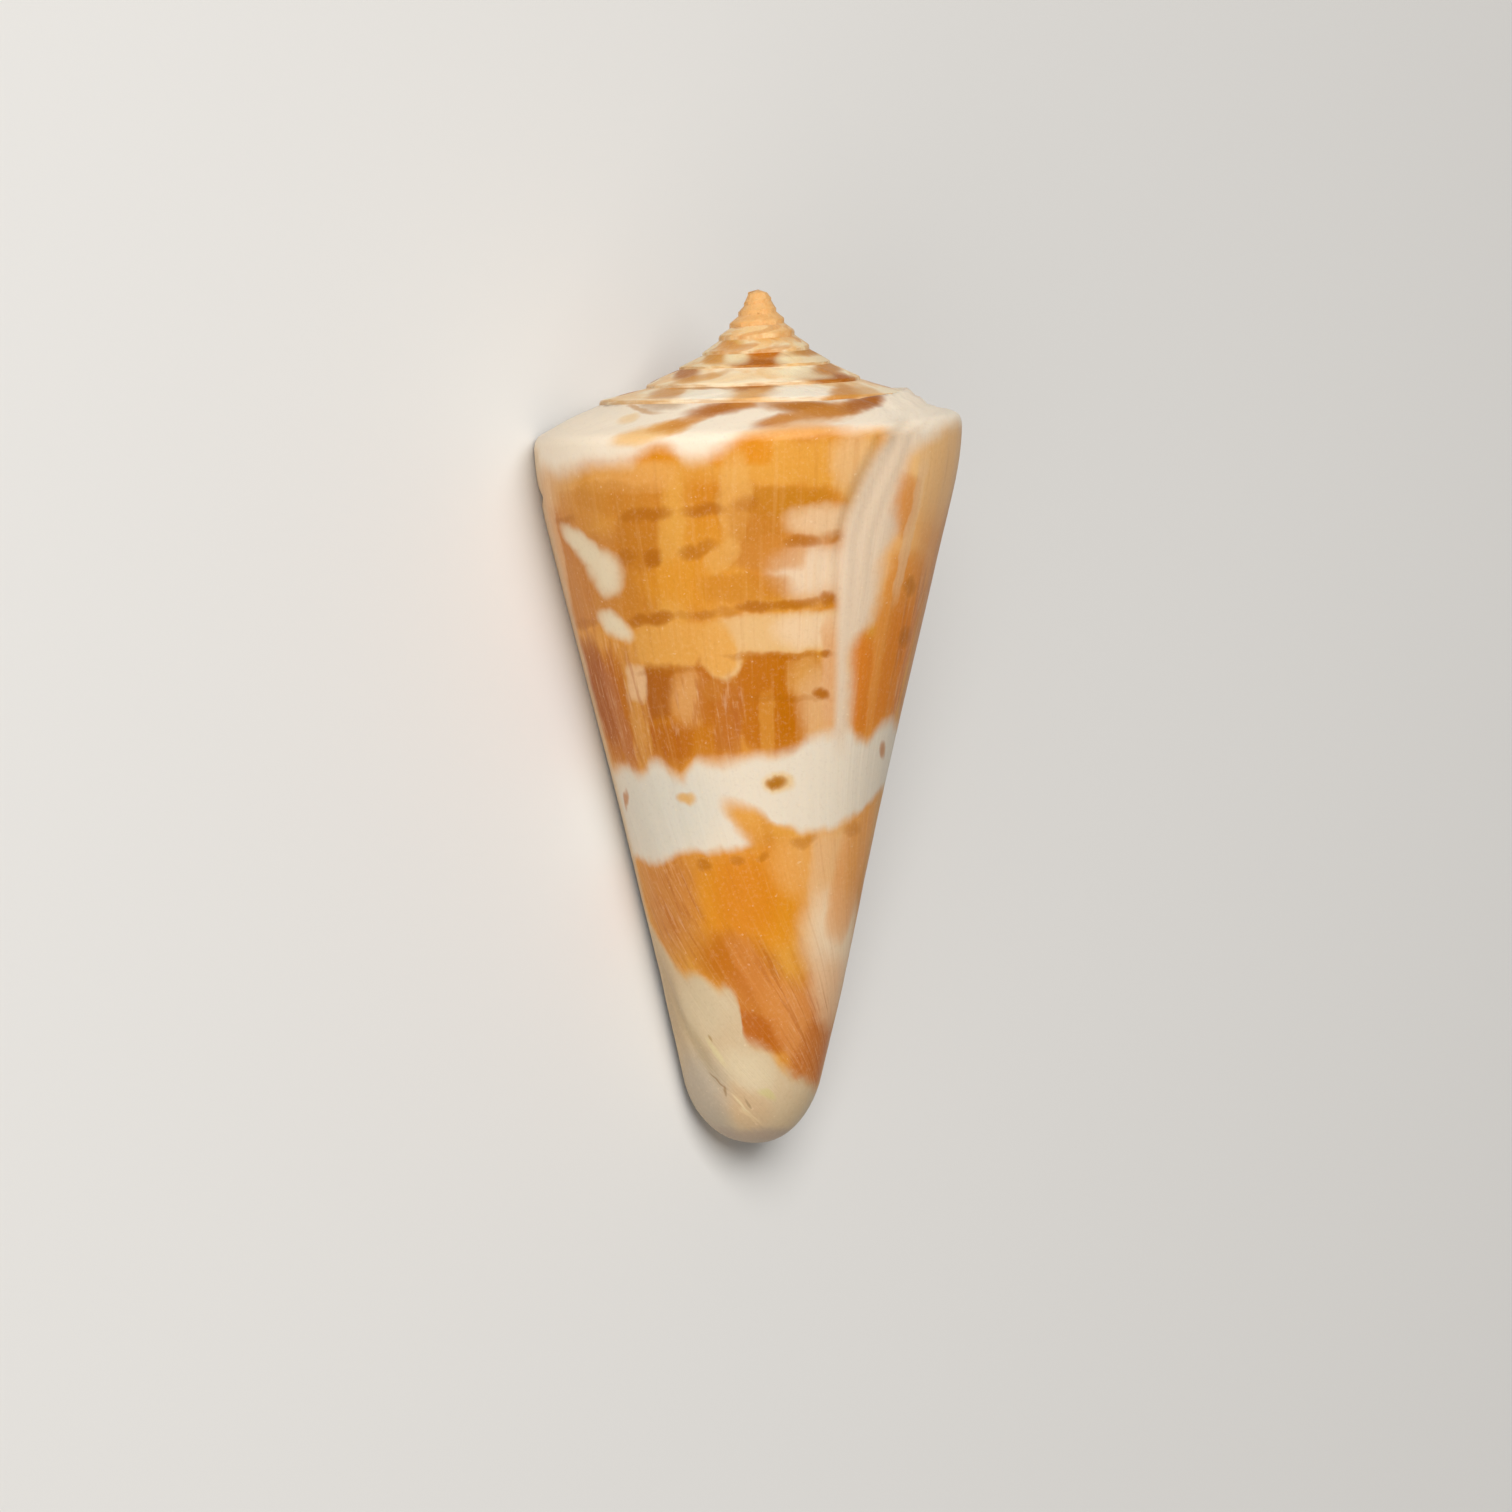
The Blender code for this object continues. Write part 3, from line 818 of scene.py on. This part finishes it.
# Rows of brown dashes
DASHES = (
    # x, y, half width, half height, tilt, strength
    (652, 513, 12, 4, -3, 0.8),
    (632, 516, 9, 4, -3, 0.6),
    (704, 511, 14, 4, -2, 0.8),
    (745, 503, 8, 5, 0, 0.5),
    (564, 521, 5, 3, 0, 0.5),
    (627, 558, 4, 4, 0, 0.5),
    (651, 557, 5, 6, 0, 0.9),
    (690, 552, 8, 5, -15, 0.7),
    (702, 547, 8, 4, -15, 0.6),
    (803, 541, 10, 4, 0, 0.8),
    (835, 537, 7, 4, -10, 0.5),
    (759, 607, 13, 3.5, -4, 0.9),
    (790, 604, 23, 2.5, -4, 0.8),
    (828, 600, 4, 4, 0, 0.9),
    (642, 620, 9, 3, -4, 0.8),
    (659, 619, 9, 4, -4, 0.9),
    (682, 616, 9, 2, -8, 0.35),
    (706, 615, 8, 3, -5, 0.6),
    (729, 613, 7, 3, 0, 0.4),
    (745, 656, 14, 1.5, -1, 0.45),
    (790, 655, 32, 1.5, -1, 0.45),
    (824, 654, 2.5, 2, 0, 0.9),
    (822, 694, 3, 3, 0, 1.0),
    (782, 698, 34, 1.5, -1, 0.35),
    (704, 867, 3, 3, 0, 0.65),
    (738, 860, 3, 2.5, 0, 0.6),
    (763, 855, 3, 2, 0, 0.5),
    (804, 840, 8, 3, -20, 0.55),
    (852, 830, 4, 4, 0, 0.4),
    (910, 586, 2, 6, 12, 0.6),
    (906, 636, 2, 6, 12, 0.6),
    (583, 624, 5, 3, -10, 0.5),
    (665, 671, 20, 2, -3, 0.5),
)
DASH_EDGE = 6.5
DASH_STRENGTH = 0.92
dashes = (
    patch(x, y, width + 2, height + 1, tilt, DASH_EDGE, DASH_STRENGTH * strength)
    for x, y, width, height, tilt, strength in DASHES
)
skin = paint(either(dashes), BARK)

# Rows on the side that doesn't show
ROW_STEP = 0.049
DASH_MM = 3.077
row = both(level, 1.0 / ROW_STEP)
from_row = math_of("SUBTRACT", math_of("FRACT", row), 0.5)
on_row = rise(math_of("ABSOLUTE", from_row), 0.17, 0.04)
dash = add("CombineXYZ", both(turn, TURN_MM / DASH_MM), math_of("FLOOR", row), 0.0)
dash = rise(add("TexNoise", dash, 1.0, 0.0, 0.5), 0.52, 0.64)
skin = paint(both(on_row, dash, rear, rise(level, 0.985, 0.96), 0.75), BARK)

# White: the shoulder, the middle band, the base and a few patches
shoulder_line = line_of(
    (
        (546, 468), (560, 472), (580, 466), (605, 463), (628, 461), (645, 450), (660, 444),
        (675, 450), (690, 460), (704, 459), (718, 449), (732, 440), (750, 433), (775, 430),
        (810, 428), (850, 430), (880, 430), (895, 434), (908, 444), (922, 444), (936, 433),
        (948, 427), (958, 423),
    ),
    (
        (0.0, 0.95), (0.53, 0.985), (0.6, 0.965), (0.68, 0.98), (0.75, 0.955), (0.84, 0.975),
        (0.92, 0.95), (1.0, 0.95),
    ),
)
band_top = line_of(
    (
        (613, 770), (622, 768), (630, 769), (635, 773), (641, 775), (647, 772), (652, 763),
        (660, 762), (667, 770), (675, 778), (684, 778), (690, 772), (695, 764), (702, 760),
        (712, 763), (722, 763), (736, 759), (765, 757), (781, 755), (793, 750), (801, 744),
        (812, 738), (824, 734), (838, 731), (849, 729), (854, 736), (860, 741), (867, 741),
        (873, 735), (880, 727), (889, 722),
    ),
    (
        (0.0, 0.56), (0.48, 0.58), (0.56, 0.545), (0.61, 0.57), (0.68, 0.53), (0.74, 0.555),
        (0.8, 0.52), (0.87, 0.545), (0.93, 0.53), (1.0, 0.56),
    ),
)
band_foot = line_of(
    (
        (640, 858), (652, 861), (662, 860), (670, 856), (680, 853), (700, 852), (718, 851),
        (735, 849), (748, 842), (760, 832), (775, 828), (790, 829), (805, 830), (820, 828),
        (835, 825), (848, 820), (858, 815), (866, 806),
    ),
    (
        (0.0, 0.41), (0.48, 0.5), (0.55, 0.45), (0.62, 0.42), (0.68, 0.45), (0.75, 0.41),
        (0.82, 0.43), (0.9, 0.4), (1.0, 0.41),
    ),
)
base_line = line_of(
    (
        (662, 945), (672, 962), (682, 974), (700, 976), (709, 984), (718, 991), (728, 990),
        (735, 998), (740, 1012), (742, 1030), (746, 1040), (755, 1044), (763, 1049), (772, 1058),
        (781, 1068), (791, 1074), (801, 1080), (813, 1087),
    ),
    (
        (0.0, 0.34), (0.5, 0.075), (0.6, 0.1), (0.68, 0.16), (0.75, 0.2), (0.83, 0.24),
        (0.92, 0.3), (1.0, 0.34),
    ),
)
side_only = rise(level, 1.02, 0.99)
WHITES = (
    # x, y, half width, half height, tilt, edge
    (577, 541, 16, 6, 44, 6),
    (590, 556, 20, 8, 48, 8),
    (603, 568, 15, 12, 55, 10),
    (607, 578, 10, 14, -10, 9),
    (614, 626, 14, 7, 42, 7),
)
skin = paint(either(patch(*white) for white in WHITES), "#e4d0ae")
halo = without(beyond(band_foot, 0.030), beyond(band_top, 0.034))
skin = paint(halo, "#e0a04a", 0.5)
TONGUE = (
    # x, y, half width, half height, tilt, edge
    (752, 823, 28, 11, 38, 7),
    (768, 834, 24, 9, 12, 6),
)
in_band = without(beyond(band_foot, 0.010), beyond(band_top, 0.014))
in_band = without(in_band, either(patch(*part) for part in TONGUE))
skin = paint(in_band, CREAM)
skin = paint(both(in_band, patch(655, 812, 44, 40, 0, 26)), "#cfcabc", 0.6)
over_line = beyond(shoulder_line, 0.020, smooth_level)
ramp = either((over_line, rise(true_turn, 0.985, 0.995)))
skin = paint(ramp, RAMP_CREAM)
in_base = math_of("SUBTRACT", 1.0, beyond(base_line, 0.013))
skin = paint(in_base, BASE_CREAM)
BASE_MARKS = (
    # x, y, half width, half height, tilt, colour, strength, edge
    (700, 1008, 24, 26, 0, "#d3bf9c", 0.6, 14),
    (748, 1072, 22, 14, 30, "#d8c4a0", 0.7, 12),
    (672, 1000, 7, 44, -15, "#b09878", 0.6, 6),
    (745, 1108, 26, 14, 30, "#cfac82", 0.7, 9),
    (702, 1100, 12, 40, -25, "#aea292", 0.7, 10),
    (762, 1137, 36, 6, 0, "#ab9482", 0.7, 6),
    # Painted shade along the shallow fold near the base
    (697, 1043, 3.5, 32, -28, "#b09870", 0.4, 3.5),
    (716, 1052, 2, 12, -35, "#dccb98", 0.6, 2),
    (710, 1037, 0.9, 3, -30, "#a8844c", 0.7, 0.8),
    (718, 1083, 0.8, 9, -45, "#8a6a44", 0.65, 0.7),
    (725, 1093, 0.9, 4, -10, "#9c7c54", 0.7, 0.8),
    (767, 1095, 7, 3, 20, "#cabd7c", 0.6, 3),
    (742, 1106, 1.2, 10, -50, "#e4cda0", 0.7, 1.1),
    (752, 1117, 1.1, 10, -55, "#e0c496", 0.6, 1.0),
    (748, 1103, 0.8, 4, -45, "#8f7048", 0.5, 0.7),
)
for x, y, width, height, tilt, colour, strength, edge in BASE_MARKS:
    skin = paint(both(in_base, patch(x, y, width, height, tilt, edge, strength)), colour)

# Dots in the middle band
DOTS = (
    # x, y, half width, half height, colour, strength
    (779, 783, 12, 7, "#e0b060", 0.7),
    (777, 783, 7, 4, "#b0701c", 1.0),
    (686, 799, 7, 5, "#d9a45a", 0.9),
    (626, 799, 2, 7, "#b87438", 0.8),
    (883, 750, 2, 7, "#b87438", 0.8),
)
for x, y, width, height, colour, strength in DOTS:
    skin = paint(patch(x, y, width, height, 0, 5, strength), colour)

# The smooth pale growth between the scar and the coloured part to the right of it
SCAR_LEFT = (
    (898, 418), (890, 438), (875, 456), (857, 491), (846, 521), (841, 544), (838, 585), (837, 620),
    (836, 700), (834, 740),
)
SCAR_RIGHT = (
    (925, 430), (905, 470), (898, 500), (897, 530), (884, 556), (878, 600), (872, 622), (856, 640),
    (852, 700), (850, 740),
)


TOP_LEVEL = 2.0


def line_down(seen_pixels):
    """Turns along the levels, through these pixels of the photograph."""
    shown = sorted(tuple(place_at(x, y)[0][::-1]) for x, y in seen_pixels)
    shown = [(level_at / TOP_LEVEL, turn_at) for level_at, turn_at in shown]
    return add("FloatCurve", 1.0, both(true_level, 1.0 / TOP_LEVEL), curve=shown)


before_scar = math_of("SUBTRACT", true_turn, line_down(SCAR_LEFT))
before_old = math_of("SUBTRACT", turn, line_down(SCAR_RIGHT))
smooth_part = both(
    rise(before_scar, -0.006, 0.006),
    rise(before_old, 0.010, -0.012),
    rise(level, 0.54, 0.60),
    rise(level, 1.03, 0.99),
)
skin = paint(smooth_part, "#dcc4a8", 0.95)
# Painted shade down the groove of the scar: a greyish darkening where the groove lies in shade
groove_shade = both(
    rise(math_of("ABSOLUTE", before_scar), 0.018, 0.0),
    rise(true_level, 0.82, 0.95),
    rise(true_level, 1.06, 1.0),
)
skin = paint(groove_shade, "#a8937a", 0.45)

# The ramp: cream with brown flames that follow the growth lines
FLAMES = (
    # x, y, half width, half height, tilt, colour, strength, edge
    (650, 432, 32, 5, -12, "#e4a746", 0.8, 4),
    (668, 428, 15, 5, -6, "#d89334", 0.8, 4),
    (640, 437, 18, 5, -10, "#ecc288", 0.6, 4),
    (690, 420, 20, 3.5, -14, "#cc8016", 0.85, 3),
    (722, 408, 25, 5, -8, "#b0650a", 1.0, 4),
    (742, 404, 10, 4, -4, "#c07722", 0.8, 3),
    (629, 419, 9, 3, -20, "#ecc488", 0.7, 3),
    (640, 409, 12, 2, 14, "#c08742", 0.7, 2),
    (607, 402, 9, 3.5, 0, "#8a5d14", 0.9, 3),
    (808, 407, 40, 6, 3, "#b26b0c", 1.0, 4),
    (778, 421, 18, 5, -10, "#b86712", 0.9, 4),
    (812, 417, 34, 5, -6, "#d08b32", 0.7, 5),
    (835, 410, 30, 5, -8, "#c07716", 0.9, 5),
    (868, 401, 16, 7, -14, "#a65e14", 1.0, 5),
    (800, 430, 34, 5, -4, "#e8a558", 0.7, 6),
    (660, 403, 16, 6, 0, "#b48e66", 0.7, 4),
    (668, 392, 16, 6, -8, "#c88530", 0.85, 4),
    (690, 395, 8, 8, 0, "#f3e2c2", 0.7, 4),
    (752, 384, 26, 8, 0, "#b0670e", 0.95, 3),
    (752, 395, 20, 5, -8, "#dba15c", 0.9, 4),
    (706, 394, 22, 6, -8, "#f8ecd6", 0.9, 4),
    (804, 393, 29, 6, 0, "#f8ecd6", 0.9, 4),
    (848, 395, 16, 10, 8, "#c8801a", 0.9, 4),
    (868, 392, 14, 5, 14, "#d89f56", 0.8, 3),
    (700, 387, 20, 2, -4, "#b57118", 0.8, 2),
    (838, 380, 36, 7, 8, "#a85d02", 1.0, 3),
    (757, 364, 24, 6, -3, "#a85d08", 1.0, 3),
    (740, 377, 36, 3, -4, "#ecc690", 0.6, 3),
    (686, 371, 13, 7, -22, "#b06712", 0.95, 3),
    (700, 378, 24, 2, -12, "#c8872e", 0.7, 2),
    (800, 372, 26, 6, 4, "#f4e4bc", 0.7, 4),
    (829, 366, 12, 9, 30, "#bd771a", 0.9, 4),
    (765, 352, 18, 7, 0, "#bd6b0e", 1.0, 3),
    (713, 357, 10, 6, -18, "#cc871a", 0.9, 3),
    (790, 356, 10, 7, 0, "#f0dcae", 0.7, 4),
    (735, 357, 10, 6, 0, "#f0dcae", 0.7, 4),
    (810, 350, 8, 6, 25, "#bb7716", 0.9, 3),
    (731, 341, 8, 6, -30, "#cf932e", 0.85, 4),
    (775, 336, 24, 5, 0, "#dc9b44", 0.6, 4),
    (757, 330, 14, 4, 0, "#efcf98", 0.8, 4),
)
MOTTLE_MM = 6.154
MOTTLES_ON_RAMP = 1.6
MOTTLE_SEED = 9.0
old_whorls = rise(true_turn, 0.97, 1.02)
skin = paint(old_whorls, "#f8e0b2", 0.6)
mottled = add("CombineXYZ", both(true_turn, TURN_MM / MOTTLE_MM), both(up, MOTTLES_ON_RAMP), MOTTLE_SEED)
mottles = rise(add("TexNoise", mottled, 1.0, 2.0, 0.6), 0.44, 0.60)
skin = paint(both(old_whorls, mottles), "#e8b066", 0.6)
on_rim = both(old_whorls, rise(true_level, 1.030, 1.012))
for x, y, width, height, tilt, colour, strength, edge in FLAMES:
    skin = paint(patch(x, y, width, height, tilt, edge, strength), colour)
# Brown mottles on the rims of the older whorls: partly their own brown, partly painted shade that dims
# the rims where the light catches them
RIM_MOTTLE_AND_SHADE_SCALE = 1.7
rim_mottles_and_shade = rise(add("TexNoise", mottled, RIM_MOTTLE_AND_SHADE_SCALE, 2.0, 0.6), 0.36, 0.60)
skin = paint(both(on_rim, rim_mottles_and_shade), "#c48a48", 0.55)

# Round the rear the flames follow a noise, and the oldest whorls fade to honey
FLAME_MM = 8.889
FLAMES_ON_RAMP = 1.1
FLAME_SEED = 4.0
flame_place = add("CombineXYZ", both(along, TURN_MM / FLAME_MM), both(up, FLAMES_ON_RAMP), FLAME_SEED)
flame_noise = rise(add("TexNoise", flame_place, 1.0, 1.0, 0.5), 0.50, 0.60)
rear_half = rise(math_of("FRACT", true_turn), 0.46, 0.54)
rear_ramp = either((rear_half, rise(true_turn, 3.6, 4.0)))
on_ramp = rise(level, 1.013, 1.05)
skin = paint(both(flame_noise, rear_ramp, on_ramp, rise(true_turn, 3.9, 3.5)), RUST, 0.9)
skin = paint(both(flame_noise, rise(true_turn, 3.6, 4.0)), "#c98440", 0.6)
skin = paint(rise(true_turn, 4.6, 6.0), "#e3ab68", 0.85)

# A fine grain in the colour, and tiny pale pits where the surface has weathered. Both are finer
# than the render shows, so they are drawn as coarse as they need to be.
grain = add("TexNoise", body, per_metre(0.2381), 2.0, 0.7)
skin = paint(rise(grain, 0.50, 0.75), "#f2dcb4", 0.09)
skin = paint(rise(grain, 0.48, 0.25), "#7a4210", 0.07)
pits = add("TexNoise", body, per_metre(0.2174), 0.0, 0.5)
skin = paint(rise(pits, 0.80, 0.86), "#f6dcb4", 0.22)

# The edge of the lip
skin = paint(both(rise(turn, 0.042, 0.020), side_only), "#dfc29c", 0.8)

# Lime has an IOR near 1.53, but the worn surface gives back less light than glass
surface = nodes["Principled BSDF"]
links.new(skin, surface.inputs["Base Color"])
surface.inputs["Roughness"].default_value = 0.38
surface.inputs["IOR"].default_value = 1.53
surface.inputs["Specular IOR Level"].default_value = 0.12
surface.inputs["Subsurface Weight"].default_value = 0.12
surface.inputs["Subsurface Radius"].default_value = (0.0012, 0.0007, 0.0004)
surface.inputs["Subsurface Scale"].default_value = 1.0

# The finest growth lines stand up a little, and the spire is rough with its first, worn grains
LINE_STRENGTH = 0.25
LINE_DEPTH = 0.00008
SPIRE_GRAINS = 2.2
grains = add("TexNoise", body, per_metre(0.3846), 2.0, 0.6)
rough_spire = both(math_of("SUBTRACT", grains, 0.5), rise(true_turn, 0.9, 1.1))
fine_relief = math_of("MULTIPLY_ADD", rough_spire, SPIRE_GRAINS, fine_streaks)
relief_lines = add("Bump", LINE_STRENGTH, LINE_DEPTH, None, fine_relief)
links.new(relief_lines, surface.inputs["Normal"])

# The same lime, laid down by the animal without colours: the inside is plain, pale and smooth
inside = bpy.data.materials.new("porcelain_inside")
inside.use_nodes = True
inside_surface = inside.node_tree.nodes["Principled BSDF"]
inside_surface.inputs["Base Color"].default_value = linear("#efe3d2")
inside_surface.inputs["Roughness"].default_value = 0.3
shell_mesh.materials.append(glaze)
shell_mesh.materials.append(inside)

# The floor
# A wide sheet of matt paper under the shell, larger than the camera sees. It is an even, pale
# ground without a highlight.
FLOOR = 1.2
floor_mesh = bpy.data.meshes.new("floor")
corners = [(x * FLOOR, y * FLOOR, 0.0) for x, y in ((-1, -1), (1, -1), (1, 1), (-1, 1))]
floor_mesh.from_pydata(corners, [], [(0, 1, 2, 3)])
floor = bpy.data.objects.new("floor", floor_mesh)
bpy.context.scene.collection.objects.link(floor)
paper = bpy.data.materials.new("matt_paper")
paper.use_nodes = True
paper_surface = paper.node_tree.nodes["Principled BSDF"]
paper_surface.inputs["Base Color"].default_value = linear("#dddad5")
paper_surface.inputs["Roughness"].default_value = 0.9
floor_mesh.materials.append(paper)

# The lights
# Two square softboxes, a strong one beyond the spire and a weak one beyond the base, in a dim
# white room.
MIDDLE = Vector((0.0, 0.026, 0.0))


def softbox(name, where, size, watts):
    """A soft area light, placed in the shell's own frame and turned to its middle."""
    lamp = bpy.data.lights.new(name, "AREA")
    lamp.shape = "SQUARE"
    lamp.size = size
    lamp.energy = watts
    holder = bpy.data.objects.new(name, lamp)
    bpy.context.scene.collection.objects.link(holder)
    start = shell_to_world @ Vector(where)
    aim = (shell_to_world @ MIDDLE - start).to_track_quat("-Z", "Y")
    holder.matrix_world = Matrix.LocRotScale(start, aim, None)


softbox("key", (0.15, 0.27, 0.43), 0.35, 2.75)
softbox("fill", (-0.12, -0.16, 0.48), 0.40, 0.85)
world = bpy.data.worlds.new("studio")
world.use_nodes = True
room = world.node_tree.nodes["Background"]
room.inputs["Color"].default_value = (1.0, 1.0, 1.0, 1.0)
room.inputs["Strength"].default_value = 0.13
bpy.context.scene.world = world
bpy.context.scene.view_settings.view_transform = "Standard"

# The camera
# It stands where the photograph was taken from, with a long lens.
camera_data = bpy.data.cameras.new("camera")
camera_data.lens = LENS
camera_data.sensor_width = SENSOR
camera = bpy.data.objects.new("camera", camera_data)
bpy.context.scene.collection.objects.link(camera)
camera.matrix_world = shell_to_world @ shell_to_view.inverted() @ Matrix.Translation(VIEW_POINT)
bpy.context.scene.camera = camera
